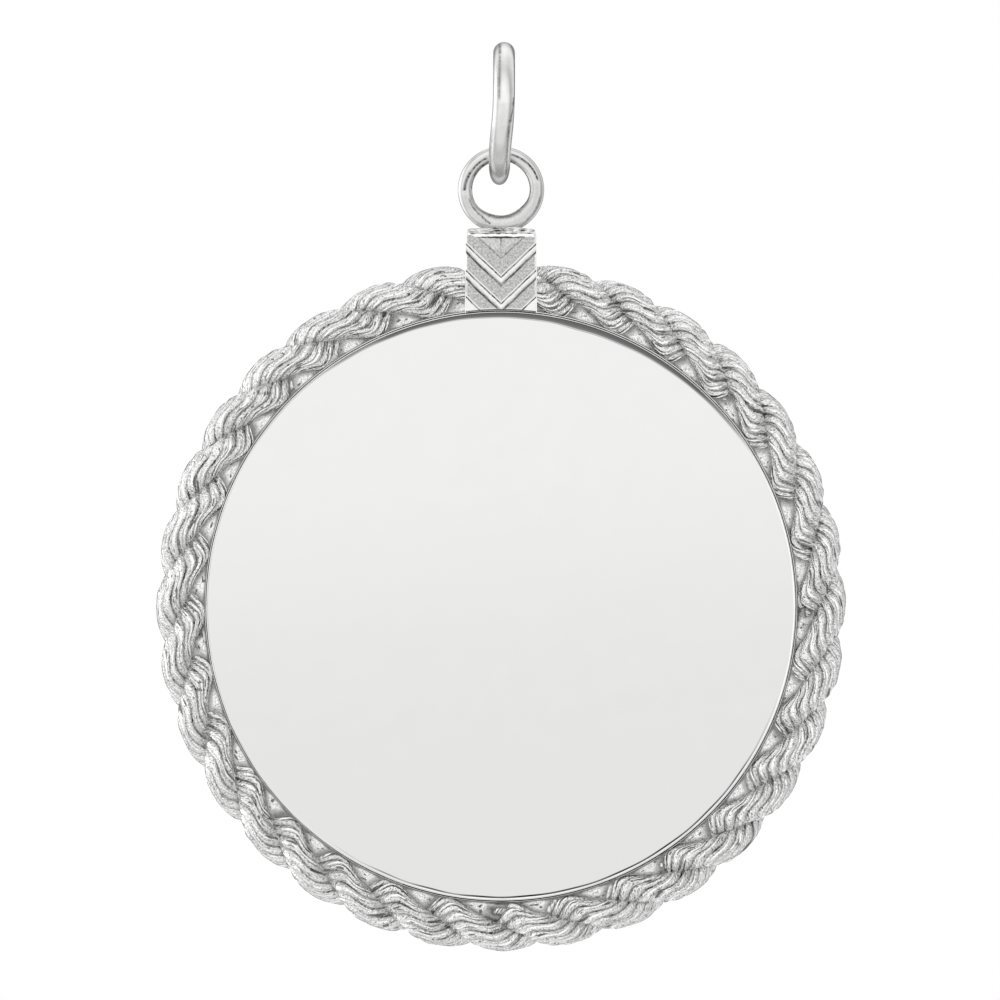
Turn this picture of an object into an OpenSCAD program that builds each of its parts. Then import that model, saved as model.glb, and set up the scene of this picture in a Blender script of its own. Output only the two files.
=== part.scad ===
// Disc pendant: a polished plate in a cast rope border, with a chevron bail on a jump ring.
// Millimetres. Z is up, the front looks along -Y, and the origin is the highest point inside
// the jump ring, where a chain passes through it along X.

/* [Disc] */
// Outer radius of the polished rim
rim_r = 13.35; // [10:0.05:16]
// Thickness of the plate inside the rim
plate_t = 0.7; // [0.5:0.05:1]
// Height of the rim above the plate's face
rim_rise = 0.36; // [0.34:0.02:0.6]
// Radius of the hollow cove between the plate's face and the rim
cove_r = 0.32; // [0.1:0.02:0.34]
// Width of the rim's flat top
rim_land = 0.1; // [0.06:0.02:0.3]

/* [Rope border] */
// Half of the rope's overall thickness
rope_r = 1.09; // [0.9:0.01:1.2]
// Distance from the rope's middle line to the middle of each strand, as a share of rope_r
strand_share = 0.43; // [0.38:0.01:0.47]
// Half of a strand's width, across the line that joins the strands
strand_half_w = 0.74; // [0.6:0.01:0.8]
// Strand crests that a full circle of rope would show along its edge
crests = 32; // [24:2:40]
// Angle from the top, clockwise as seen from the front, of the first crest
first_crest = 10.5; // [8:0.5:14]
// Thickness of the web between the rope and the rim
web_t = 0.6; // [0.4:0.05:0.8]

/* [Bail] */
// Width of the chevron tab
tab_w = 3.17; // [2.6:0.01:4]
// Height of the tab's top above the rim
tab_h = 3.66; // [3.4:0.02:4.2]
// Thickness of the tab from front to back
tab_t = 2; // [1.6:0.1:2.4]
// Radius of the tab's top corners
corner_r = 0.3; // [0.1:0.05:0.5]
// Chamfer along the top of the tab, front and back
top_chamfer = 0.22; // [0.1:0.02:0.3]
// Slope of the chevron arms above the horizontal
arm_angle = 43.5; // [38:0.5:50]
// Height from one chevron groove to the next
groove_pitch = 1.19; // [1:0.01:1.4]
// Height of a groove, measured straight up
groove_h = 0.4; // [0.25:0.01:0.6]
// Depth of a groove at its upper wall
groove_depth = 0.16; // [0.08:0.02:0.3]
// Height of the upper groove's point above the rim
first_groove = 1.5; // [1.3:0.01:1.7]
// Outside diameter of the fixed loop
loop_d = 3.9; // [3.4:0.05:4.6]
// Wire thickness of the fixed loop
loop_wire = 0.65; // [0.5:0.01:0.8]
// Depth that the loop is soldered into the tab
loop_sink = 0.15; // [0.1:0.01:0.25]

/* [Jump ring] */
// Outside diameter of the jump ring
ring_d = 6.4; // [5.8:0.1:8]
// Wire thickness of the jump ring
ring_wire = 0.98; // [0.8:0.02:1.1]
// Clearance between the hanging loop and the jump ring
hang_gap = 0.05; // [0.02:0.01:0.1]

/* [Fit] */
// Gap between neighbouring pieces of the pendant
seam = 0.04; // [0.02:0.01:0.08]

/* [Hidden] */
$fn = 96;

// Heights, from the jump ring at the origin down to the middle of the disc
ring_low_inside = 2 * ring_wire - ring_d;
pivot_z = ring_low_inside + hang_gap + loop_wire / 2;
loop_z = pivot_z + loop_wire / 2 - loop_d / 2;
tab_top_z = loop_z - loop_d / 2 + loop_sink;
disc_z = tab_top_z - tab_h - rim_r;

// The rope's middle line, whose inner crests come as near to the rim as the web does
web_in_r = rim_r + seam;
rope_mid_r = web_in_r + rope_r;
strand_offset = strand_share * rope_r;

// Points around the rope's section, measured from the outward direction towards the front:
// even steps, and the two corners of the web's inner edge
section_step = 22.5;
web_reach = rope_mid_r - web_in_r;
web_corner = atan(web_t / 2 / web_reach);
section_angles = concat(
    [for (t = [0 : section_step : 180 - section_step]) t],
    [180 - web_corner, 180, 180 + web_corner],
    [for (t = [180 + section_step : section_step : 360 - section_step]) t]);
section_count = len(section_angles);

// The rope runs clockwise from one side of the tab to the other. Each ring of points turns the
// strands by one step of the section, so that the groove between them follows the points.
rope_end_x = tab_w / 2 + seam;
end_angle = asin(rope_end_x / rope_mid_r);
span = 360 - 2 * end_angle;
turn_length = 2 * 360 / crests;
ring_count = round(span / turn_length * 360 / section_step);
first_turn = -section_step * round((first_crest - end_angle) * ring_count / span);

// Distance from the middle of the rope's section to the edge of its two strands, at angle t
// from the line that joins the strands
function strands_r(t) =
    let (a = rope_r - strand_offset,
         q = pow(cos(t) / a, 2) + pow(sin(t) / strand_half_w, 2),
         p = strand_offset * abs(cos(t)) / (a * a))
    (p + sqrt(p * p + q * (1 - pow(strand_offset / a, 2)))) / q;

// The same for the web, which leaves the rope towards the rim
function web_r(t) = cos(t) < 0 ? min(-web_reach / cos(t), web_t / 2 / max(abs(sin(t)), 0.001)) : 0;

// A point of the frame: ring k of the sweep, at angle t and distance d in its section
function frame_point(k, t, d) =
    let (rho = rope_mid_r + d * cos(t),
         start = asin(rope_end_x / rho),
         phi = start + (360 - 2 * start) * k / ring_count)
    [rho * sin(phi), -d * sin(t), disc_z + rho * cos(phi)];

// Lays the turned profiles, whose own axis is Z, round the disc's middle and facing the front
module facing_front() translate([0, 0, disc_z]) rotate([90, 0, 0]) children();

module disc() {
    land_in = rim_r - rim_land;
    color("gainsboro") facing_front() rotate_extrude() {
        translate([0, -plate_t / 2]) square([rim_r, plate_t]);
        translate([land_in - cove_r, plate_t / 2]) difference() {
            square([cove_r + rim_land, rim_rise]);
            translate([0, cove_r]) circle(cove_r);
            translate([0, cove_r]) square([cove_r, rim_rise]);
        }
    }
}

module rope_frame() {
    rings = [for (k = [0 : ring_count])
        [for (t = section_angles)
            frame_point(k, t, max(strands_r(t - first_turn - section_step * k), web_r(t)))]];
    caps = [frame_point(0, 0, 0), frame_point(ring_count, 0, 0)];
    points = concat([for (ring = rings) each ring], caps);
    start_cap = (ring_count + 1) * section_count;
    sides = [for (k = [0 : ring_count - 1]) for (i = [0 : section_count - 1])
        let (j = (i + 1) % section_count, low = k * section_count, high = low + section_count)
        each [[low + i, high + j, low + j], [low + i, high + i, high + j]]];
    ends = [for (i = [0 : section_count - 1])
        let (j = (i + 1) % section_count, high = ring_count * section_count)
        each [[start_cap, i, j], [start_cap + 1, high + j, high + i]]];
    color("darkgray") polyhedron(points, concat(sides, ends));
}

// Outline of the tab from the front: round top corners, and a foot that follows the rim
module tab_outline() {
    difference() {
        translate([0, disc_z]) union() {
            translate([-tab_w / 2, 0]) square([tab_w, rim_r + tab_h - corner_r]);
            translate([corner_r - tab_w / 2, 0]) square([tab_w - 2 * corner_r, rim_r + tab_h]);
            for (side = [-1, 1])
                translate([side * (tab_w / 2 - corner_r), rim_r + tab_h - corner_r]) circle(corner_r);
        }
        translate([0, disc_z]) circle(rim_r + seam);
    }
}

// One chevron groove, deepest along its upper wall, with its point at height z
module groove(z) {
    across = groove_h * cos(arm_angle);
    for (side = [0, 1]) mirror([side, 0, 0]) intersection() {
        translate([0, -tab_t / 2, z]) rotate([0, 90 - arm_angle, 0])
            translate([0, 0, -groove_h]) linear_extrude(tab_w)
                polygon([[0, -1], [groove_depth / 4, groove_depth], [across, 0], [across, -1]]);
        translate([0, -tab_t, z - tab_h]) cube([tab_w, tab_t, 2 * tab_h]);
    }
}

// The hollow above the upper chevron: two facets that meet in an upright crease
module top_hollow(z) {
    top = tab_top_z - top_chamfer - groove_depth;
    half_w = (top - z) / tan(arm_angle);
    y = -tab_t / 2;
    corners = [[-half_w, y, top], [half_w, y, top], [0, y, z], [0, y + groove_depth, top]];
    front = [[-half_w, y - 1, top], [half_w, y - 1, top], [0, y - 1, z]];
    polyhedron(concat(corners, front),
        [[4, 5, 6], [4, 0, 3], [4, 3, 5], [3, 1, 5], [5, 1, 2], [5, 2, 6], [4, 6, 2], [4, 2, 0],
         [0, 2, 3], [1, 3, 2]]);
}

module tab() {
    low_foot = disc_z + rim_r;
    difference() {
        rotate([90, 0, 0]) linear_extrude(tab_t, center = true) tab_outline();
        for (side = [0, 1]) mirror([0, side, 0])
            translate([0, tab_t / 2, tab_top_z]) rotate([45, 0, 0])
                cube([2 * tab_w, 2 * top_chamfer, sqrt(2) * top_chamfer], center = true);
        for (i = [0 : 2]) groove(low_foot + first_groove - i * groove_pitch);
        top_hollow(low_foot + first_groove + groove_pitch - groove_h);
    }
}

module bail() {
    color("silver") union() {
        tab();
        translate([0, 0, loop_z]) rotate([90, 0, 0]) rotate_extrude()
            translate([(loop_d - loop_wire) / 2, 0]) circle(loop_wire / 2);
    }
}

module jump_ring() {
    color("silver") translate([0, 0, ring_wire - ring_d / 2]) rotate([0, 90, 0]) rotate_extrude()
        translate([(ring_d - ring_wire) / 2, 0]) circle(ring_wire / 2);
}

disc();
rope_frame();
bail();
jump_ring();
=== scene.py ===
# Looks of the disc pendant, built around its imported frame. Lengths are in millimetres until a
# piece is finished, and in metres from there on. The front looks along -Y and Z is up.
import math

import bpy
import numpy as np
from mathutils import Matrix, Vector


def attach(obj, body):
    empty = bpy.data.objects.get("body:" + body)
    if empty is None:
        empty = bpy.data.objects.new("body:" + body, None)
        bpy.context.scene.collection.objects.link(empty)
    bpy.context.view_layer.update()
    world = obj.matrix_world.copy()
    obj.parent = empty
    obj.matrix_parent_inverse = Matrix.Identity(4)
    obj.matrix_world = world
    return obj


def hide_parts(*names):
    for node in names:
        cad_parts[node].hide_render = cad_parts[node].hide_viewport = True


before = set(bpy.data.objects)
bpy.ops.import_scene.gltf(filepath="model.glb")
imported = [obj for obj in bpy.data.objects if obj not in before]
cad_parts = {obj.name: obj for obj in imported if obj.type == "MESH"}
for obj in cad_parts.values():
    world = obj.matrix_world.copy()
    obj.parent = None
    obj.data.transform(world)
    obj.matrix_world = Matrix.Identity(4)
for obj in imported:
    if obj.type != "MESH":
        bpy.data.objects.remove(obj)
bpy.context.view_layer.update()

MM = 0.001

# Sizes of the solids, as the part's source has them
RIM_R = 13.35
PLATE_T = 0.7
RIM_RISE = 0.36
RIM_LAND = 0.1
ROPE_R = 1.09
STRAND_SHARE = 0.43
WEB_T = 0.6
TAB_W = 3.17
TAB_H = 3.66
TAB_T = 2.0
CORNER_R = 0.3
TOP_CHAMFER = 0.22
ARM_ANGLE = math.radians(43.5)
GROOVE_PITCH = 1.19
GROOVE_H = 0.4
GROOVE_DEPTH = 0.16
FIRST_GROOVE = 1.5
LOOP_D = 3.9
LOOP_WIRE = 0.65
LOOP_SINK = 0.15
RING_D = 6.4
RING_WIRE = 0.98
HANG_GAP = 0.05
SEAM = 0.04

PIVOT_Z = 2 * RING_WIRE - RING_D + HANG_GAP + LOOP_WIRE / 2
LOOP_Z = PIVOT_Z + LOOP_WIRE / 2 - LOOP_D / 2
TAB_TOP_Z = LOOP_Z - LOOP_D / 2 + LOOP_SINK
DISC_Z = TAB_TOP_Z - TAB_H - RIM_R
RING_Z = RING_WIRE - RING_D / 2
WEB_IN_R = RIM_R + SEAM
ROPE_MID_R = WEB_IN_R + ROPE_R
ROPE_END_X = TAB_W / 2 + SEAM

# The two strands: from the rope's middle line to the middle of each, and half of its size along
# and across the line that joins them, across a little more than in the solid
STRAND_OFFSET = STRAND_SHARE * ROPE_R
STRAND_HALF_H = ROPE_R - STRAND_OFFSET
STRAND_HALF_W = 0.76
STRAND_RINGS = 560

# Turn of the strands at the start of the rope and over its whole length, in the steps in degrees
# that the solid has
SECTION_STEP = 22.5
SECTION_STEPS = 247
FIRST_TURN = math.radians(-3 * SECTION_STEP)
TURNS = math.radians(SECTION_STEPS * SECTION_STEP)

# The wires of each strand. A wire's section is given as (share of its width, share of its depth),
# and its crest lies a little towards its inner side.
WIRES = 8
WIRE_DEPTH = 0.13
WIRE_SECTION = [
    (0, 1), (0.07, 0.74), (0.17, 0.46), (0.3, 0.21), (0.43, 0.07),
    (0.6, 0), (0.74, 0.07), (0.83, 0.25), (0.9, 0.5), (0.955, 0.78),
]

# Turns of the wires round their strand for each turn of the strands, with a slow change of it
# round the border, and how far the wires are crowded and shifted round the strand, in radians
WIRE_LAY = 0.95
LAY_DRIFT = 0.03
WIRE_CROWDING = 0.19
WIRE_SHIFT = 0.17

# How the wires' depth varies, as shares of it: less on the rope's outer side, more on one flank
# of the strand than on the other, and up and down at random
OUTER_LOSS = 0.42
FLANK_SHIFT = 0.25
DEPTH_CHANGE = 0.2

# Bumps of the cast strands, the coarse and the fine: seed, height, number of waves, most crests
# round a strand, and shortest wave along it
STRAND_BUMPS = [(5, 0.010, 40, 7, 1.2), (15, 0.006, 60, 26, 0.5)]

# Places where the casting is pitted: degrees clockwise from the top, millimetres outwards from
# the rope's middle line, and size
PITTED_SPOTS = [
    (9, 0.3, 0.5), (51, 0.1, 0.4), (222, 0.3, 0.3), (228, -0.5, 0.4), (232, -0.3, 0.5),
    (255, -0.4, 0.4), (311, -0.5, 0.4), (332, -0.2, 0.4), (349, 0.5, 0.4),
]

# Solder between rim and rope: degrees clockwise from the top, half width in degrees, height
SOLDER_SPOTS = [(88.5, 2.2, 0.2), (180, 2.4, 0.22), (267, 3.0, 0.2)]

# The rim's bottom, where its wall is set back and a painted black shade line runs inside it: its
# middle, and the angle over which it fades out at each end, in degrees
LOW_MIDDLE = 162
LOW_FADE = 34

# Width of the cove at angles from the top, clockwise; where it is wide it carries painted shade
COVE_AT = [0, 15, 30, 45, 60, 100, 200, 220, 300, 315, 330, 345, 360]
COVE_WIDTHS = [0.23, 0.33, 0.27, 0.17, 0.07, 0.05, 0.05, 0.03, 0.03, 0.06, 0.15, 0.21, 0.23]

# Painted shade on top of the rim, at angles from the top, clockwise
LAND_AT = [0, 20, 45, 60, 110, 130, 200, 220, 340, 360]
LAND_SHADE = [0.12, 0.25, 0.2, 0.25, 0.25, 0.1, 0.1, 0, 0, 0.12]

# Radii of the mesh's rings on the flat front and back of the plate
FLAT_RADII = [0, 4, 9]

# Worn outer edge of the tab, from outside the solid inwards: depth from the front or back, inset,
# finish and painted shade
TAB_EDGE = [
    (-0.006, 0.085, 1, 0.5), (0, 0.07, 1, 0), (0.004, 0.02, 1, 0), (0.02, 0.004, 1, 0),
    (0.05, 0, 0.5, 0),
]

# A chevron groove across its arm: distance below its lip, depth, finish and painted shade, which
# darkens its upper wall and the slope below. The lowest groove has the first rows only, down to
# its polished floor.
GROOVE_ROWS = [
    (-0.078, 0, 0, 0), (-0.07, -0.0005, 1, 0), (-0.014, -0.004, 1, 0), (-0.004, 0.002, 1, 0.2),
    (0.004, 0.04, 1, 0.95), (0.026, 0.09, 1, 1), (0.046, 0.126, 1, 0.95), (0.058, 0.13, 1, 0),
    (0.12, 0.116, 1, 0.08), (0.19, 0.092, 1, 0.19), (0.24, 0.067, 1, 0.28),
    (0.27, 0.045, 0.9, 0.34), (0.3, 0.022, 0.6, 0.36), (0.325, 0.006, 0.3, 0.25), (0.35, 0, 0, 0),
]
LOWEST_GROOVE_ROWS = 9

# Fine dark lines on a wire, painted dark reflections and shade that are also cut in a little:
# (angle, place round the wire) at the start, the same at the end, width and darkness. Angles are
# in degrees, clockwise from the top of the ring.
WIRE_SIDES = 90
LINE_DEPTH = 0.012
LOOP_LINES = [
    ((12, 16), (82, 16), 13, 0.75), ((312, 16), (334, 16), 13, 0.5),
    ((12, 90), (79, 72), 9, 1.0), ((298, 102), (338, 104), 8, 0.9),
    ((292, 150), (346, 150), 20, 1.0), ((8, 150), (30, 152), 20, 1.0),
    ((26, 155), (142, 153), 12, 0.8), ((132, 148), (212, 146), 24, 0.45),
    ((205, 150), (284, 153), 16, 0.35), ((270, 153), (300, 150), 14, 0.9),
    ((98, 60), (144, 58), 8, 0.45), ((196, 88), (217, 111), 7, 0.7),
    ((213, 111), (256, 114), 8, 0.7), ((267, 84), (302, 101), 12, 1.0),
]
RING_LINES = [
    ((12, 335), (38, 337), 8, 0.8), ((36, 337), (84, 335), 6, 0.6),
    ((12, 40), (42, 74), 10, 0.7), ((40, 74), (84, 72), 11, 0.8),
    ((79, 66), (88, 60), 13, 1.0), ((86, 62), (102, 39), 8, 0.8),
    ((100, 39), (160, 40), 7, 0.65), ((104, 309), (160, 305), 11, 0.5),
]

# Colours of the metal, on the plate, the rope, the tab, and the loop and jump ring
PLATE_BRIGHT = (0.93, 0.93, 0.925, 1)
PLATE_SHADE = (0.2, 0.2, 0.2, 1)
PLATE_LINE = (0.01, 0.01, 0.01, 1)
ROPE_DARK = (0.68, 0.68, 0.675, 1)
ROPE_LIGHT = (0.96, 0.96, 0.955, 1)
ROPE_CREST_HIGHLIGHT = (1.0, 1.0, 0.995, 1)
ROPE_PIT = (0.1, 0.1, 0.1, 1)
BAND_DARK = (0.38, 0.38, 0.375, 1)
BAND_LIGHT = (0.7, 0.7, 0.695, 1)
TAB_BRIGHT = (0.87, 0.87, 0.865, 1)
TAB_SHADE = (0.06, 0.06, 0.06, 1)
WIRE_DARK = (0.76, 0.76, 0.755, 1)
WIRE_LIGHT = (0.84, 0.84, 0.835, 1)
WIRE_LINE = (0.05, 0.05, 0.05, 1)


def link(made):
    bpy.context.scene.collection.objects.link(made)
    return made


def make_object(name, points, faces):
    """A mesh object from points and faces, in the points' own unit."""
    mesh = bpy.data.meshes.new(name)
    mesh.from_pydata([tuple(p) for p in np.asarray(points, float)], [], faces)
    mesh.update()
    return link(bpy.data.objects.new(name, mesh))


def tube_faces(rings, count):
    """Faces between rings of points, each ring closed, wound for a ring that turns from outwards
    to the front while the rings run clockwise."""
    low = np.arange(rings - 1)[:, None] * count
    i = np.arange(count)[None, :]
    j = (i + 1) % count
    quads = np.stack([low + i, low + j, low + j + count, low + i + count], axis=-1)
    return quads.reshape(-1, 4).tolist()


def tube(name, points, count):
    """A tube of closed rings of count points each, with a flat face over each end."""
    caps = [list(range(count))[::-1], list(range(len(points) - count, len(points)))]
    return make_object(name, points, tube_faces(len(points) // count, count) + caps)


def boolean(target, other, operation):
    """Joins other to target, cuts it out, or keeps what they share, and removes other."""
    modifier = target.modifiers.new("join", "BOOLEAN")
    modifier.object = other
    modifier.operation = operation
    modifier.solver = "MANIFOLD"
    depsgraph = bpy.context.evaluated_depsgraph_get()
    mesh = bpy.data.meshes.new_from_object(target.evaluated_get(depsgraph))
    target.modifiers.clear()
    old = target.data
    target.data = mesh
    bpy.data.meshes.remove(old)
    bpy.data.objects.remove(other)
    target.data.materials.clear()


def finish_mesh(made, name, sharp_degrees):
    """Names a piece, scales it to metres and shades it smooth between its creases."""
    made.name = name
    coordinates = np.zeros(len(made.data.vertices) * 3, np.float32)
    made.data.vertices.foreach_get("co", coordinates)
    made.data.vertices.foreach_set("co", coordinates * MM)
    made.data.shade_smooth()
    made.data.set_sharp_from_angle(angle=math.radians(sharp_degrees))
    made.data.update()
    return made


def waves(seed, angle, along, terms, crests, shortest):
    """Smooth bumps over a tube's surface that close round it: a sum of seeded waves, each with at
    most that many crests round the tube, and none closer than shortest along it."""
    source = np.random.default_rng(seed)
    total = 0 * angle + 0 * along
    for _ in range(terms):
        turns = source.integers(0, crests + 1)
        per_mm = 2 * np.pi * source.uniform(-1, 1) / shortest
        total = total + np.sin(turns * angle + per_mm * along + source.uniform(0, 2 * np.pi))
    return total / math.sqrt(terms / 2)


def between(value, start, end, fade):
    """1 between start and end and 0 outside them, with a fading stretch inside each."""
    return np.clip((value - start) / fade, 0, 1) * np.clip((end - value) / fade, 0, 1)


def point_values(made, name, values):
    """Stores numbers or vectors, given for each point of a mesh, at its face corners."""
    mesh = made.data
    values = np.asarray(values, np.float32)
    kind, key = ("FLOAT_VECTOR", "vector") if values.ndim == 2 else ("FLOAT", "value")
    index = np.zeros(len(mesh.loops), np.int32)
    mesh.loops.foreach_get("vertex_index", index)
    mesh.attributes.new(name, kind, "CORNER").data.foreach_set(key, values[index].ravel())


def face_values(made, **named):
    """Stores numbers for the faces of a mesh at their corners: one for all, or one for each."""
    mesh = made.data
    for name, values in named.items():
        attribute = mesh.attributes.new(name, "FLOAT", "CORNER")
        for polygon, value in zip(mesh.polygons, np.broadcast_to(values, len(mesh.polygons))):
            for corner in polygon.loop_indices:
                attribute.data[corner].value = float(value)


def round_frame(s, u, v):
    """Points of the rope frame: share s of the sweep, u outwards and v to the front of the
    rope's middle line. The sweep starts and ends at flat planes beside the tab."""
    rho = ROPE_MID_R + u
    start = np.arcsin(ROPE_END_X / rho)
    phi = start + (2 * np.pi - 2 * start) * s
    return np.stack([rho * np.sin(phi), -v + 0 * phi, DISC_Z + rho * np.cos(phi)], axis=-1)


def pitted(points, u):
    """How badly the casting is pitted at points that lie u outwards, from 0 to 1."""
    phi = np.arctan2(points[:, 0], points[:, 2] - DISC_Z) % (2 * np.pi)
    total = 0 * u
    for degrees, at_u, size in PITTED_SPOTS:
        away = ((np.degrees(phi) - degrees) * math.radians(1) * ROPE_MID_R) ** 2 + (u - at_u) ** 2
        total = total + np.exp(-away / size ** 2)
    return np.clip(total, 0, 1)


def inward(turn):
    """How far the rope's section reaches towards the rim, as a share of its plain shape: each
    strand touches the rim where it is nearest, and leaves the web bare in between."""
    least = 0.79
    growth = 0.31
    return least + growth * np.abs(np.cos(turn)) ** 1.3


def strand(index):
    """One strand of the rope with its wires, as a closed tube whose mesh lines follow them. Its
    values are lay, the place along the wires for the grain; valley, the depth between wires and
    strands, which sets the painted shade there; and pitted."""
    shares = np.array([share for share, _ in WIRE_SECTION])
    depths = np.tile([depth for _, depth in WIRE_SECTION], WIRES)[None, :]
    s = np.linspace(0, 1, STRAND_RINGS)[:, None]
    along = 2 * np.pi * ROPE_MID_R * s
    turn = FIRST_TURN + TURNS * s + math.pi * index

    # Angle round the strand: among its wires, from the outward direction, and from the line that
    # joins the strands
    around = 2 * np.pi / WIRES * (np.arange(WIRES)[:, None] + shares[None, :]).reshape(1, -1)
    twist = TURNS * (WIRE_LAY * s + LAY_DRIFT * (1 - np.cos(2 * np.pi * s)))
    beta = around - twist + math.pi * index
    beta = beta - WIRE_CROWDING * np.sin(beta - turn) + WIRE_SHIFT * np.cos(beta - turn)
    gamma = beta - turn

    # The wires' grooves are cut into the strand's oval, which is a little fuller for it
    outer = np.clip(np.cos(beta), 0, 1)
    drop = WIRE_DEPTH * depths * (1 - FLANK_SHIFT * np.sin(gamma)) * (1 - OUTER_LOSS * outer)
    uneven = waves(45 + index, around, along, terms=20, crests=6, shortest=2.5)
    drop = drop * (1 + DEPTH_CHANGE * uneven)
    fuller = 0.02
    edge = 1 / np.sqrt((np.cos(gamma) / STRAND_HALF_H) ** 2 + (np.sin(gamma) / STRAND_HALF_W) ** 2)
    r = edge - drop + fuller
    for seed, height, terms, crests, shortest in STRAND_BUMPS:
        r = r + height * waves(seed + index, around, along, terms, crests, shortest)
    u = STRAND_OFFSET * np.cos(turn) + r * np.cos(beta)
    u = np.maximum(np.where(u < 0, inward(turn) * u, u), -ROPE_R)
    v = STRAND_OFFSET * np.sin(turn) + r * np.sin(beta)
    points = round_frame(s + 0 * beta, u, v).reshape(-1, 3)
    made = tube("strand", points, around.size)

    # The grain's own place starts further along for each strand, so that no two look alike
    grain_r = 0.68
    grain_start = 200 * index
    lay = np.stack([grain_r * np.cos(around) + 0 * s, grain_r * np.sin(around) + 0 * s,
                    along + grain_start + 0 * around], axis=-1)
    point_values(made, "lay", lay.reshape(-1, 3))

    # Painted shade in the valleys between the wires, and along the joint where the two strands meet
    apart = STRAND_OFFSET + r * np.cos(gamma)
    joint_reach = 0.15
    joint = (0.7 + 0.2 * (1 - outer)) * np.clip(1 - apart / joint_reach, 0, 1)
    point_values(made, "valley", np.maximum(depths * (1.1 - 0.5 * outer), joint).ravel())
    point_values(made, "pitted", pitted(points, u.ravel()))
    return made


def web():
    """The thin plate between the rope and the rim, with the solder that holds it to the rim."""
    rings = 900
    steps = 13
    width = 1.2
    back_end = 0.11
    s = np.linspace(0, 1, rings)[:, None]
    along = 2 * np.pi * ROPE_MID_R * s
    across = np.linspace(0, 1, steps)
    front_u = (-ROPE_R + width * across)[None, :] + 0 * s
    solder_v = 0 * s
    for middle, half_width, height in SOLDER_SPOTS:
        solder_v = solder_v + height * np.exp(-(np.abs(360 * s - middle) / half_width) ** 4)
    uneven = waves(31, 5 * across[None, :], along, terms=12, crests=3, shortest=0.7)
    cast = waves(32, 8 * across[None, :], along, terms=30, crests=4, shortest=0.4)
    ripple = 1 + 0.35 * uneven
    front_v = WEB_T / 2 + solder_v * ripple * (1 - 0.25 * across[None, :] ** 2)
    front_v = front_v + 0.008 * cast
    back_u = np.array([[back_end, -ROPE_R]]) + 0 * s
    u = np.concatenate([back_u, front_u], axis=1)[:, ::-1]
    v = np.concatenate([0 * back_u - WEB_T / 2, front_v], axis=1)[:, ::-1]
    points = round_frame(s + 0 * u, u, v).reshape(-1, 3)
    made = tube("web", points, u.shape[1])
    grain_start = 600
    lay = np.stack([u, v, 3 * along + grain_start + 0 * u], axis=-1)
    point_values(made, "lay", lay.reshape(-1, 3))

    # Distance from the nearer strand, as a share of its size: the web carries painted shade close
    # to the strands and at its edge along the rim
    turn = FIRST_TURN + TURNS * s
    far = 9
    near = far + 0 * u
    plain_u = np.where(u < 0, u / inward(turn), u)
    for side in (-1, 1):
        p = plain_u * np.cos(turn) + v * np.sin(turn) - side * STRAND_OFFSET
        q = v * np.cos(turn) - plain_u * np.sin(turn)
        away = np.sqrt((p / STRAND_HALF_H) ** 2 + (q / STRAND_HALF_W) ** 2) - 1
        near = np.minimum(near, away)
    corner_reach = 0.6
    corner = np.clip(1 - near / corner_reach, 0, 1) ** 1.2
    at_rim = u < 0.01 - ROPE_R
    shade = 0.02 + 1.6 * corner + 1.4 * at_rim
    back_shade = 0.3
    shade[:, -2:] = back_shade
    point_values(made, "valley", shade.ravel())
    point_values(made, "pitted", np.full(len(points), -1))
    return made


def rope_frame():
    """The rope border: two strands and the web in one mesh."""
    made = strand(0)
    boolean(made, strand(1), "UNION")
    boolean(made, web(), "UNION")
    return finish_mesh(made, "rope_border", 38)


def lathe(name, profile, segments):
    """A turned solid round the disc's axis, from rows of (radius, height to the front, painted
    shade) that run from the middle of the back to the middle of the front. Radius, height and
    painted shade may change round the axis, from the top clockwise."""
    angle = np.linspace(0, 2 * np.pi, segments, endpoint=False)
    inner = [[value + 0 * angle for value in row] for row in profile[1:-1]]
    points = [(r * np.sin(angle), -h, DISC_Z + r * np.cos(angle)) for r, h, _ in inner]
    points = np.stack([np.stack(row, axis=-1) for row in points]).reshape(-1, 3).tolist()
    back, front = len(points), len(points) + 1
    points += [[0, -profile[0][1], DISC_Z], [0, -profile[-1][1], DISC_Z]]
    faces = tube_faces(len(inner), segments)
    last = (len(inner) - 1) * segments
    for i in range(segments):
        j = (i + 1) % segments
        faces.append([back, j, i])
        faces.append([front, last + i, last + j])
    made = make_object(name, points, faces)
    point_values(made, "dull", np.concatenate([row[2] for row in inner] + [[0, 0]]))
    return made


def arc(centre, radius, start, end, steps):
    """Points along an arc in the profile plane, with the angles in degrees."""
    angles = np.radians(np.linspace(start, end, steps))
    return [(centre[0] + radius * math.cos(a), centre[1] + radius * math.sin(a)) for a in angles]


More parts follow.
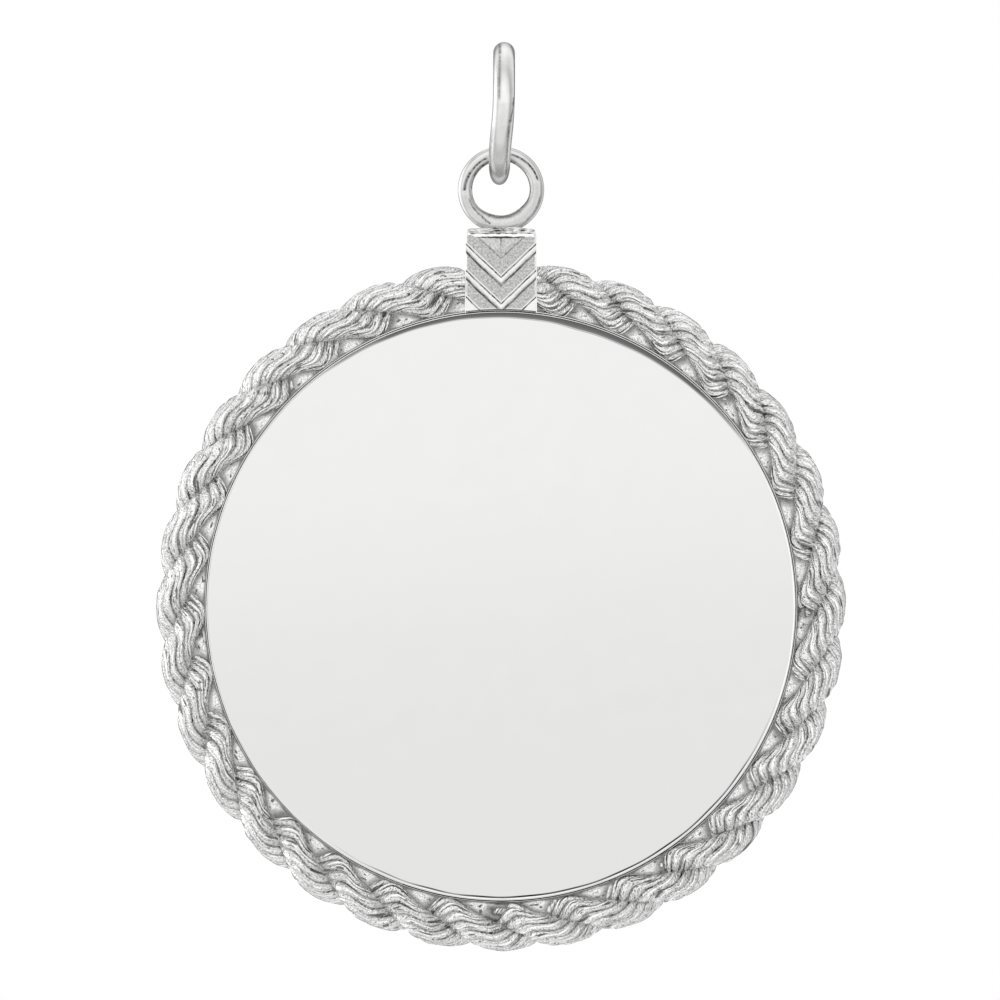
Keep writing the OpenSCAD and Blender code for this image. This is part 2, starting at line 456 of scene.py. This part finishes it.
def disc():
    """The round plate with its raised rim and the cove inside it, its edges a little worn. The cove
    is wide and carries painted shade near the top, and is hardly more than a corner further round.
    Along the bottom the rim's wall is set back and a painted black shade line runs inside the rim."""
    segments = 480
    back, face = -PLATE_T / 2, PLATE_T / 2
    top = face + RIM_RISE
    land_in = RIM_R - RIM_LAND
    degrees = np.linspace(0, 360, segments, endpoint=False)
    ripple = waves(51, np.radians(degrees), 0, terms=12, crests=40, shortest=1)
    low = np.clip(1.6 - np.abs(degrees - LOW_MIDDLE) / LOW_FADE, 0, 1)
    land = np.interp(degrees, LAND_AT, LAND_SHADE)
    cove = np.interp(degrees, COVE_AT, COVE_WIDTHS) + 0.008 * ripple
    # Painted shade: the cove is painted darker where it is wider than bright_cove, and a painted
    # black shade line runs inside the rim along the bottom
    bright_cove = 0.07
    dull = np.clip((cove - bright_cove) / 0.12, 0, 1)
    line = low * (1.5 + 0.3 * ripple)

    # The back and its rounded edge, and the rim's wall up to the set-back at the top
    back_edge = 0.12
    profile = [(r, back, 0) for r in FLAT_RADII + [RIM_R - back_edge - 0.1]]
    rounding = arc((RIM_R - back_edge, back + back_edge), back_edge, -90, 0, steps=7)
    profile += [(r, h, 0) for r, h in rounding]
    out = RIM_R - 0.055 - 0.045 * low
    # The rim's outer wall carries painted shade
    profile += [(RIM_R, 0.2, 0.3), (out, 0.3, 0.3)]

    # The rim's top with its worn edges, and the cove
    outer_edge = 0.05
    inner_edge = 0.015
    rounding = arc((out - outer_edge, top - outer_edge), outer_edge, 0, 90, steps=6)
    rounding += arc((land_in + inner_edge, top - inner_edge), inner_edge, 90, 180, steps=4)
    # The rim's top carries painted shade that changes round the rim
    profile += [(r, h, land) for r, h in rounding]
    for a in np.radians(np.linspace(0, -90, 13)):
        fade = 1 if a > -1.4 else 0.4
        r = land_in - cove + cove * math.cos(a)
        profile.append((r, face + cove + cove * math.sin(a), fade * dull))

    # The painted black shade line inside the cove, as distance inwards and share of its darkness,
    # and the face
    for inwards, share in ((0.015, 0.1), (0.025, 1), (0.08, 1), (0.1, 0)):
        profile.append((land_in - cove - inwards, face, share * line))
    outer_flat = 12.6
    profile += [(r, face, 0) for r in [outer_flat] + FLAT_RADII[::-1]]
    return finish_mesh(lathe("disc_plate", profile, segments), "disc_plate", 50)


def tab_outline(inset):
    """Outline of the tab from the front, drawn in by a margin: (x, z) points that start at the
    left of the foot and run anticlockwise."""
    half = TAB_W / 2 - inset
    top = TAB_TOP_Z - inset
    corner = CORNER_R - inset
    foot = RIM_R + SEAM + inset
    points = [(x, DISC_Z + math.sqrt(foot ** 2 - x ** 2)) for x in np.linspace(-half, half, 25)]
    points += arc((half - corner, top - corner), corner, 0, 90, steps=9)
    points += arc((corner - half, top - corner), corner, 90, 180, steps=9)
    return points


def tab_body():
    """The tab without its relief, with worn edges at the front and plain ones at the back, as
    layers of (distance to the back, inset, finish, painted shade)."""
    half = TAB_T / 2
    back_finish = 0.5
    layers = [(half - depth, inset, back_finish, 0) for depth, inset, _, _ in TAB_EDGE]
    layers += [(depth - half, inset, finish, dull) for depth, inset, finish, dull in TAB_EDGE[::-1]]
    outlines = [tab_outline(inset) for _, inset, _, _ in layers]
    count = len(outlines[0])
    points = [(x, layer[0], z) for layer, outline in zip(layers, outlines) for x, z in outline]
    made = tube("tab", points, count)
    point_values(made, "finish", np.repeat([layer[2] for layer in layers], count))
    point_values(made, "dull", np.repeat([layer[3] for layer in layers], count))
    return made


def tab_relief():
    """A block whose front carries the chevrons, with mesh lines that run along their arms. It
    reaches past the tab on every side."""
    foot = DISC_Z + RIM_R
    half_width = 2.0
    floor_depth = 0.03
    rows = [(foot + 8, 0, 0, 0)]
    grooves = [GROOVE_ROWS, GROOVE_ROWS, GROOVE_ROWS[:LOWEST_GROOVE_ROWS]]
    for i, section in enumerate(grooves):
        lip = foot + FIRST_GROOVE - i * GROOVE_PITCH
        rows += [(lip - row[0] / math.cos(ARM_ANGLE), *row[1:]) for row in section]
    rows += [(z, floor_depth, 0.7, 0) for z in (lip - 0.9, foot - 4)]
    xs = np.linspace(-half_width, half_width, 81)
    place = np.abs(xs) + 9 * np.sign(xs)
    uneven = 0.006 * waves(61, 0, place, terms=8, crests=0, shortest=0.4)
    front = []
    for w, depth, _, _ in rows:
        wander = uneven * (0 < depth < 0.11)
        z = w + wander + np.abs(xs) * math.tan(ARM_ANGLE)
        front.append(np.stack([xs, depth - TAB_T / 2 + 0 * xs, z], axis=-1))
    count = len(xs)
    points = np.concatenate(front).tolist()
    back = len(points)
    points += [(x, TAB_T, z) for x, y, z in points]
    faces = []
    for r in range(len(rows) - 1):
        for c in range(count - 1):
            low = r * count + c
            faces.append([low, low + count, low + count + 1, low + 1])
            faces.append([back + i for i in (low, low + 1, low + count + 1, low + count)])
    for c in range(count - 1):
        faces.append([c, c + 1, back + c + 1, back + c])
        low = (len(rows) - 1) * count + c
        faces.append([low + 1, low, back + low, back + low + 1])
    for r in range(len(rows) - 1):
        low = r * count
        faces.append([low + count, low, back + low, back + low + count])
        low += count - 1
        faces.append([low, low + count, back + low + count, back + low])
    made = make_object("relief", points, faces)
    for name, column in (("finish", 2), ("dull", 3)):
        values = np.repeat([row[column] for row in rows], count)
        point_values(made, name, np.concatenate([values, values]))
    return made


def chamfer(side):
    """A block turned about X that cuts the tab's top edge, at the back with side 1 and at the
    front with side -1."""
    size = np.array([2 * TAB_W, 2 * TOP_CHAMFER, math.sqrt(2) * TOP_CHAMFER])
    corners = np.array([(x, y, z) for x in (-1, 1) for y in (-1, 1) for z in (-1, 1)]) / 2 * size
    tilt = math.radians(-45 * side)
    c, s = math.cos(tilt), math.sin(tilt)
    turned = np.stack([corners[:, 0], c * corners[:, 1] - s * corners[:, 2],
                       s * corners[:, 1] + c * corners[:, 2]], axis=-1)
    faces = [[0, 1, 3, 2], [4, 6, 7, 5], [0, 4, 5, 1], [2, 3, 7, 6], [0, 2, 6, 4], [1, 5, 7, 3]]
    made = make_object("chamfer", turned + np.array([0, side * TAB_T / 2, TAB_TOP_Z]), faces)
    face_values(made, finish=0.9, dull=0)
    return made


def slot(half_x, middle_z, half_z, depth, lean, seed, dull):
    """A thin uneven bar along X, for cutting a line into the tab's front: it is as deep as depth
    at its lower edge, and deeper by lean at its upper edge. Its faces carry the painted shade
    given."""
    xs = np.linspace(-half_x, half_x, 90)
    ends = np.clip((half_x + 0.01 - np.abs(xs)) / 0.06, 0, 1) ** 0.5
    lower, upper = (waves(seed + i, 0, xs, terms=12, crests=0, shortest=0.3) for i in (0, 1))
    low = middle_z - half_z * ends * (1 + 0.4 * lower)
    high = middle_z + half_z * ends * (1 + 0.4 * upper)
    shallow = -TAB_T / 2 + depth * ends
    corners = [(shallow, low), (shallow + lean * ends, high), (-TAB_T, high), (-TAB_T, low)]
    points = np.stack([np.stack([xs, y + 0 * xs, z], axis=-1) for y, z in corners], axis=1)
    made = tube("slot", points.reshape(-1, 3), len(corners))
    face_values(made, finish=1, dull=dull)
    return made


def pocket():
    """The hollow above the upper chevron, with two facets that meet in an upright crease: its rim
    on the tab's front, the edge of the facets, and the wall at their top, under the bar. Points
    ahead of the tab close the cutter."""
    low = DISC_Z + RIM_R + FIRST_GROOVE + GROOVE_PITCH - GROOVE_H
    top = TAB_TOP_Z - TOP_CHAMFER - GROOVE_DEPTH
    half = (top - low) / math.tan(ARM_ANGLE)
    y = -TAB_T / 2
    lip = top + 0.01
    upper = top - 0.02
    back = top - 0.04
    deep = y + GROOVE_DEPTH
    rim = [(-half - 0.05, y, lip), (0, y, low), (half + 0.05, y, lip)]
    edge = [(-half + 0.06, y + 0.04, upper), (0, y + 0.03, low + 0.08)]
    edge += [(half - 0.06, y + 0.04, upper)]
    wall = [(-0.55, y + 0.09, back), (-0.03, deep - 0.01, back), (0, deep + 0.012, back)]
    wall += [(0.03, deep - 0.01, back), (0.55, y + 0.09, back)]
    ahead = [(x, y - 1, z) for x, _, z in rim]
    faces = [[0, 3, 4, 1], [1, 4, 5, 2], [3, 6, 7, 4], [4, 9, 10, 5], [4, 7, 8], [4, 8, 9]]
    faces += [[2, 5, 10, 9, 8, 7, 6, 3, 0]]
    faces += [[11, 12, 13], [12, 11, 0, 1], [13, 12, 1, 2], [11, 13, 2, 0]]
    made = make_object("pocket", rim + edge + wall + ahead, faces)
    # The hollow's facets and its top wall carry painted shade
    face_values(made, finish=[0.4, 0.4, 0.25, 0.25, 0.6, 0.6, 0.8, 0, 0, 0, 0],
                dull=[0.5, 0.5, 0, 0.04, 0.5, 0.5, 0.95, 0, 0, 0, 0])
    return made


def solder():
    """The uneven solder along the tab's top and round the foot of the loop, as a lumpy tube. It
    is thicker near the loop and tapers at the tab's corners."""
    count = 48
    half_length = TAB_W / 2 - 0.05
    xs = np.linspace(-half_length, half_length, 200)[:, None]
    t = np.linspace(0, 2 * np.pi, count, endpoint=False)[None, :]
    near = np.exp(-xs ** 4)
    ends = np.clip((1.54 - np.abs(xs)) / 0.12, 0, 1) ** 0.5
    coarse = waves(71, t, xs, terms=16, crests=6, shortest=0.8)
    fine = waves(72, t, xs, terms=24, crests=14, shortest=0.4)
    uneven = 0.5 * coarse + 0.5 * fine
    least = 0.012
    deep = (0.12 + 0.022 * uneven) * ends + least
    high = (0.1 + 0.05 * near + 0.02 * uneven) * ends + least
    y = -TAB_T / 2 + 0.2 - 0.02 * near + deep * np.cos(t)
    z = TAB_TOP_Z - 0.115 + 0.03 * near + high * np.sin(t)
    points = np.stack([xs + 0 * t, y, z], axis=-1).reshape(-1, 3)
    made = tube("solder", points, count)
    point_values(made, "finish", np.ones(len(points)))
    # The solder carries painted shade in the hollows of its lumps
    point_values(made, "dull", np.clip(0.42 - 0.9 * uneven, 0.18, 0.9).ravel())
    return made


def tab():
    """The chevron tab: under its top edge a bright bar between two lines of painted shade, then the
    hollow and the chevrons. Its values are finish, from cast to polished, and the painted shade."""
    made = tab_body()
    for side in (-1, 1):
        boolean(made, chamfer(side), "DIFFERENCE")
    boolean(made, tab_relief(), "INTERSECT")
    bar_z = TAB_TOP_Z - TOP_CHAMFER - 0.0625
    # The lines over and under the bar carry painted shade
    over_bar = slot(1.44, bar_z + 0.0775, half_z=0.022, depth=0.03, lean=0, seed=81, dull=0.85)
    boolean(made, over_bar, "DIFFERENCE")
    bar = slot(1.5, bar_z, half_z=0.075, depth=0.002, lean=0.023, seed=83, dull=0)
    boolean(made, bar, "DIFFERENCE")
    boolean(made, pocket(), "DIFFERENCE")
    under_bar = slot(0.9, bar_z - 0.11, half_z=0.036, depth=0.055, lean=0, seed=85, dull=1.0)
    boolean(made, under_bar, "DIFFERENCE")
    boolean(made, solder(), "UNION")
    return finish_mesh(made, "bail_tab", 25)


def ring(name, radius, wire, lines, place, tone, segments=240, rounder=0):
    """A wire ring as a mesh, a little flattened by wear: place(angle, outwards, sideways) gives
    each point and tone(degrees) its painted shade, on top of the painted dark lines. With rounder,
    the wire is less flattened at the ring's top and bottom."""
    a = np.linspace(0, 2 * np.pi, segments, endpoint=False)[:, None]
    t = np.linspace(0, 2 * np.pi, WIRE_SIDES, endpoint=False)[None, :]
    dark = 0 * a + 0 * t
    for start, end, width, darkness in lines:
        share = ((np.degrees(a) - start[0]) % 360) / ((end[0] - start[0]) % 360)
        middle = start[1] + (end[1] - start[1]) * share
        away = (np.degrees(t) - middle + 180) % 360 - 180
        ends = between(share, 0, 1, fade=1 / 12)
        dark = np.maximum(dark, darkness * ends * np.exp(-(away / width) ** 2))
    power = 2.5 - rounder * np.cos(a) ** 4
    half = wire / 2 * (np.abs(np.cos(t)) ** power + np.abs(np.sin(t)) ** power) ** (-1 / power)
    half = half - LINE_DEPTH * dark
    points = place(a, radius + half * np.cos(t), half * np.sin(t)).reshape(-1, 3)
    faces = tube_faces(segments, WIRE_SIDES)
    last = (segments - 1) * WIRE_SIDES
    for i in range(WIRE_SIDES):
        j = (i + 1) % WIRE_SIDES
        faces.append([last + i, last + j, j, i])
    made = make_object(name, points, faces)
    # Painted dark reflections and shade along the wire
    point_values(made, "dull", np.clip(dark + tone(np.degrees(a)), 0, 1).ravel())
    return finish_mesh(made, name, 60)


def loop():
    """The fixed loop, which faces the front, thicker along the bottom of its hole and with painted
    shade on its lower half."""
    middle = (LOOP_D - LOOP_WIRE) / 2
    most_extra = 0.14

    def place(a, out, side):
        extra = most_extra * np.exp(-((np.degrees(a) - 170) / 55) ** 4)
        out = out - extra * np.clip((middle - out) / (LOOP_WIRE / 2), 0, 1)
        return np.stack([out * np.sin(a), -side + 0 * a, LOOP_Z + out * np.cos(a)], axis=-1)

    def tone(degrees):
        # Painted shade on the loop's lower half
        return 0.055 + 0.1 * between(degrees, 78, 262, fade=3)

    return ring("bail_loop", middle, LOOP_WIRE, LOOP_LINES, place, tone)


def jump_ring():
    """The jump ring, seen edge-on, with its slight bow and its wire narrower at the bottom."""
    middle = (RING_D - RING_WIRE) / 2
    narrowing = 0.15
    drop = 0.05
    step_aside = 0.22
    step_z = -3.1

    def place(a, out, side):
        low = np.exp(-((np.degrees(a) - 180) / 22) ** 2)
        side = side * (1 - narrowing * low)
        out = out + drop * low * np.clip((out - middle) / (RING_WIRE / 2), 0, 1)
        z = RING_Z + out * np.cos(a)
        bow = step_aside / (1 + np.exp(-(z - step_z) / 0.5)) - 0.08
        return np.stack([side + bow, -out * np.sin(a) + 0 * side, z], axis=-1)

    def tone(degrees):
        # Painted shade on the jump ring's lower half
        return 0.07 * between(degrees, 84, 276, fade=2)

    return ring("jump_ring_wire", middle, RING_WIRE, RING_LINES, place, tone, 300, rounder=0.5)


def new_material(name, metallic=1.0):
    material = bpy.data.materials.new(name)
    material.use_nodes = True
    nodes = material.node_tree.nodes
    nodes.clear()
    output = nodes.new("ShaderNodeOutputMaterial")
    shader = nodes.new("ShaderNodeBsdfPrincipled")
    shader.inputs["Metallic"].default_value = metallic
    material.node_tree.links.new(shader.outputs["BSDF"], output.inputs["Surface"])
    return material, material.node_tree, shader


def feed(tree, made, inputs):
    """Sets inputs of a node: each is a value or another node's output."""
    for key, value in inputs.items():
        if isinstance(value, bpy.types.NodeSocket):
            tree.links.new(value, made.inputs[key])
        else:
            made.inputs[key].default_value = value


def node(tree, kind, inputs=None, **settings):
    """A new node with its settings and inputs."""
    made = tree.nodes.new("ShaderNode" + kind)
    for key, value in settings.items():
        setattr(made, key, value)
    feed(tree, made, inputs or {})
    return made


def attribute(tree, name, output="Fac"):
    return node(tree, "Attribute", attribute_name=name).outputs[output]


def noise(tree, position, scale, detail=2, roughness=0.5):
    made = node(tree, "TexNoise", {"Vector": position, "Scale": scale, "Detail": detail,
                                   "Roughness": roughness})
    return made.outputs["Factor"] if "Factor" in made.outputs else made.outputs["Fac"]


def lay_noise(tree, factors, detail=1, roughness=0.5):
    """Noise along the rope's wires, drawn out by a factor for each direction."""
    lay = attribute(tree, "lay", "Vector")
    stretched = node(tree, "VectorMath", {0: lay, 1: factors}, operation="MULTIPLY").outputs[0]
    return noise(tree, stretched, 1, detail, roughness)


def remap(tree, value, source, target=(0.0, 1.0), smooth=False):
    """Brings a value from one range to another and holds it there."""
    made = node(tree, "MapRange", {"Value": value, "From Min": source[0], "From Max": source[1],
                                   "To Min": target[0], "To Max": target[1]}, clamp=True)
    if smooth:
        made.interpolation_type = "SMOOTHSTEP"
    return made.outputs["Result"]


def maths(tree, operation, *values):
    return node(tree, "Math", dict(enumerate(values)), operation=operation).outputs[0]


def add(tree, a, b):
    return maths(tree, "ADD", a, b)


def minus(tree, a, b):
    return maths(tree, "SUBTRACT", a, b)


def times(tree, a, b):
    return maths(tree, "MULTIPLY", a, b)


def larger(tree, a, b):
    return maths(tree, "MAXIMUM", a, b)


def mixed(tree, factor, a, b):
    """The colour between a and b at that share of the way."""
    return node(tree, "Mix", {"Factor": factor, 6: a, 7: b}, data_type="RGBA").outputs[2]


def set_bump(tree, shader, height, strength, distance):
    bump = node(tree, "Bump", {"Height": height, "Strength": strength, "Distance": distance})
    feed(tree, shader, {"Normal": bump.outputs["Normal"]})


def polished_silver():
    """Mirror silver of the plate, with painted shade and, at a value over 1, a painted black shade
    line.
    """
    material, tree, shader = new_material("polished_silver")
    position = node(tree, "TexCoord").outputs["Object"]
    dull = attribute(tree, "dull")
    cloud = noise(tree, position, scale=900, detail=3)
    ripple = noise(tree, position, scale=260)
    # The plate's colour darkens with the painted shade, and turns black for the painted shade line
    colour = mixed(tree, dull, PLATE_BRIGHT, PLATE_SHADE)
    colour = mixed(tree, remap(tree, dull, (1, 2)), colour, PLATE_LINE)
    feed(tree, shader, {"Base Color": colour,
                        "Roughness": remap(tree, cloud, (0.3, 0.7), (0.05, 0.1))})
    set_bump(tree, shader, ripple, strength=0.1, distance=0.00002)
    return material


def rope_silver():
    """Cast silver of the rope: grain drawn out along the wires, painted shade in the valleys, and
    pits.
    """
    material, tree, shader = new_material("rope_silver")
    valley = attribute(tree, "valley")
    bad = attribute(tree, "pitted")
    streak = lay_noise(tree, (9, 9, 1.3))
    grain = lay_noise(tree, (12, 12, 12), roughness=0.4)
    lumps = lay_noise(tree, (2.6, 2.6, 1.4), roughness=0.4)
    speck = lay_noise(tree, (7, 7, 3.2))
    scratch = lay_noise(tree, (8, 8, 1.2), detail=0)
    stretch = lay_noise(tree, (1.6, 1.6, 0.5))

    # Dark places: pits, where the specks are low, painted shade in the valleys, and flecks
    limit = add(tree, 0.29, times(tree, bad, 0.12))
    pit = remap(tree, minus(tree, speck, limit), (0.0, -0.03))
    pit = larger(tree, pit, remap(tree, scratch, (0.27, 0.23)))
    # Painted shade from the valley value, deepest on the web beside the strands and the rim
    deep = remap(tree, valley, (0.35, 1.0), (0, 0.45), True)
    deep = add(tree, deep, remap(tree, valley, (1.0, 1.6), (0, 0.35)))
    fleck = remap(tree, grain, (0.4, 0.28))
    dark = larger(tree, deep, times(tree, pit, 0.88))
    dark = larger(tree, dark, times(tree, fleck, 0.66))

    # Light places: patches of the cast skin, and worn, smoother crests of the wires with a painted
    # highlight. The web, whose pitted value is -1, is painted lighter and is smoother.
    patchy = add(tree, times(tree, lumps, 0.5), times(tree, grain, 0.5))
    # The web is painted lighter
    patchy = add(tree, patchy, remap(tree, bad, (-1, 0), (0.1, 0)))
    # Painted highlight along the wires' crests, where the bump is also calmer
    wear_and_highlight = times(tree, remap(tree, valley, (0.1, 0.01), smooth=True),
                 remap(tree, stretch, (0.36, 0.48), smooth=True))
    light = mixed(tree, remap(tree, patchy, (0.38, 0.6)), ROPE_DARK, ROPE_LIGHT)
    light = mixed(tree, wear_and_highlight, light, ROPE_CREST_HIGHLIGHT)
    feed(tree, shader, {"Base Color": mixed(tree, dark, light, ROPE_PIT),
                        "Roughness": remap(tree, lumps, (0.3, 0.7), (0.12, 0.25))})

    height = add(tree, streak, times(tree, grain, 2.3))
    height = add(tree, height, times(tree, lumps, 1.2))
    height = minus(tree, height, times(tree, pit, 0.4))
    height = times(tree, height, remap(tree, bad, (-1, 0), (0.5, 1.0)))
    height = times(tree, height, remap(tree, wear_and_highlight, (0, 1), (1.0, 0.25)))
    set_bump(tree, shader, height, strength=1.0, distance=0.00003)
    return material


def cast_silver():
    """Cast silver of the tab: grainy on the raised bands, smooth where it was cut and polished, and
    painted dark with shade in its grooves, lines and hollow.
    """
    material, tree, shader = new_material("cast_silver")
    position = node(tree, "TexCoord").outputs["Object"]
    finish = attribute(tree, "finish")
    dull = attribute(tree, "dull")
    grain = noise(tree, position, scale=11000, detail=1, roughness=0.4)
    lumps = noise(tree, position, scale=3500, detail=1)
    patches = noise(tree, position, scale=6000, detail=1)
    rough = mixed(tree, remap(tree, grain, (0.3, 0.7)), BAND_DARK, BAND_LIGHT)
    light = mixed(tree, finish, rough, TAB_BRIGHT)
    # Painted shade, broken up in patches, darkens the grooves, lines, hollow and solder
    broken = times(tree, dull, remap(tree, patches, (0.35, 0.6), (1.5, 0.6)))
    feed(tree, shader, {"Base Color": mixed(tree, remap(tree, broken, (0, 1)), light, TAB_SHADE),
                        "Roughness": remap(tree, finish, (0, 1), (0.42, 0.12))})
    relief = minus(tree, 1.16, finish)
    height = times(tree, add(tree, grain, lumps), relief)
    set_bump(tree, shader, height, strength=1.0, distance=0.00003)
    return material


def wire_silver():
    """Satin wire of the loop and the jump ring, with painted dark lines of reflection and shade."""
    material, tree, shader = new_material("wire_silver")
    position = node(tree, "TexCoord").outputs["Object"]
    dull = attribute(tree, "dull")
    cloud = noise(tree, position, scale=1500)
    speck = noise(tree, position, scale=9000)
    # The wire's colour darkens with its painted dark lines and painted shade
    dark = times(tree, dull, remap(tree, speck, (0.35, 0.6), (1.2, 0.75)))
    light = mixed(tree, remap(tree, cloud, (0.35, 0.65)), WIRE_DARK, WIRE_LIGHT)
    feed(tree, shader, {"Base Color": mixed(tree, dark, light, WIRE_LINE),
                        "Roughness": remap(tree, cloud, (0.3, 0.7), (0.24, 0.3))})
    set_bump(tree, shader, cloud, strength=0.4, distance=0.00002)
    return material


def lighting():
    """A white light tent, plain white where the camera sees it and shaded where metal mirrors it:
    X, Y and Z are those of the mirrored direction, with the camera at -Y."""
    world = bpy.data.worlds.new("studio")
    bpy.context.scene.world = world
    world.use_nodes = True
    tree = world.node_tree
    tree.nodes.clear()
    direction = node(tree, "TexCoord").outputs["Generated"]
    split = node(tree, "SeparateXYZ", {"Vector": direction})
    x, y, z = (split.outputs[axis] for axis in "XYZ")
    height = maths(tree, "ABSOLUTE", z)

    # The walls: grey beside the camera, lighter towards the back and high up, dark straight
    # behind the pendant, and bright at the far left
    walls = remap(tree, y, (-0.55, 0.1), (0.4, 0.72))
    walls = times(tree, walls, remap(tree, height, (0, 1), (0.98, 1.2)))
    walls = add(tree, walls, remap(tree, y, (0.1, 0.5), (0, 0.18), True))
    walls = minus(tree, walls, remap(tree, y, (0.65, 0.95), (0, 0.7), True))
    walls = add(tree, walls, remap(tree, x, (-0.7, -0.92), (0, 0.75), True))

    # The front: the plate mirrors its middle, a little darker below, and round it is lighter
    towards = minus(tree, y, times(tree, height, 0.3))
    front = remap(tree, towards, (-0.5, -0.93), smooth=True)
    tilted = minus(tree, z, times(tree, x, 0.09))
    plain = remap(tree, tilted, (-0.033, 0.009), (0.838, 0.94), True)
    plain = add(tree, plain, remap(tree, y, (-0.995, -0.96), (0, 0.16), True))
    level = node(tree, "Mix", {"Factor": front, "A": walls, "B": plain}).outputs["Result"]

    # A brighter strip overhead
    strip = remap(tree, maths(tree, "ABSOLUTE", x), (0.3, 0.05), smooth=True)
    strip = times(tree, strip, remap(tree, z, (0.1, 0.4), (0, 0.15), True))
    level = add(tree, level, strip)
    seen = node(tree, "LightPath").outputs["Is Camera Ray"]
    strength = node(tree, "Mix", {"Factor": seen, "A": level, "B": 1.0}).outputs["Result"]
    background = node(tree, "Background", {"Color": (1, 1, 1, 1), "Strength": strength})
    node(tree, "OutputWorld", {"Surface": background.outputs[0]})


def key_light():
    """A soft lamp above the camera, which the metal doesn't mirror."""
    data = bpy.data.lights.new("key", "AREA")
    data.shape = "RECTANGLE"
    data.size = 0.2
    data.size_y = 0.2
    data.energy = 0.1
    made = link(bpy.data.objects.new("key", data))
    made.location = (0, -0.2, 0.25)
    aim = Vector((0, 0, -0.02))
    made.rotation_euler = (aim - made.location).to_track_quat("-Z", "Y").to_euler()
    made.visible_glossy = False


def floor():
    """The pale floor, which fades out to the white round it."""
    half = 0.13
    corners = [(-half, -half, 0), (half, -half, 0), (half, half, 0), (-half, half, 0)]
    made = make_object("floor", corners, [[0, 1, 2, 3]])
    made.location = (0, 0, -0.055)
    material, tree, shader = new_material("pale_floor", metallic=0.0)
    position = node(tree, "TexCoord").outputs["Object"]
    away = node(tree, "VectorMath", {0: position}, operation="LENGTH").outputs["Value"]
    feed(tree, shader, {"Base Color": (0.9, 0.9, 0.9, 1), "Roughness": 0.8,
                        "Alpha": remap(tree, away, (0.04, 0.125), (1.0, 0.0), True)})
    made.data.materials.append(material)
    made.visible_glossy = False


def camera():
    """A long lens straight before the disc, as in the photograph."""
    distance = 0.3
    frame_width = 0.04519
    above_disc = 0.00479
    aside = -0.000045
    data = bpy.data.cameras.new("camera")
    data.sensor_width = 36
    data.lens = data.sensor_width * distance / frame_width
    data.clip_start = 0.01
    data.clip_end = 5
    made = link(bpy.data.objects.new("camera", data))
    made.location = (aside, -distance, DISC_Z * MM + above_disc)
    made.rotation_euler = (math.pi / 2, 0, 0)
    bpy.context.scene.camera = made


def dress(made, body, node_name, material):
    """Gives a piece its material, puts it on the body it rides on, and hides the imported part
    that it stands for."""
    made.data.materials.append(material)
    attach(made, body)
    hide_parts(node_name)


polished = polished_silver()
wire = wire_silver()
dress(disc(), "pendant", "disc", polished)
dress(rope_frame(), "pendant", "rope_frame", rope_silver())
dress(tab(), "pendant", "bail", cast_silver())
dress(loop(), "pendant", "bail", wire)
dress(jump_ring(), "hanger", "jump_ring", wire)
floor()
lighting()
key_light()
camera()
bpy.context.scene.view_settings.view_transform = "Standard"
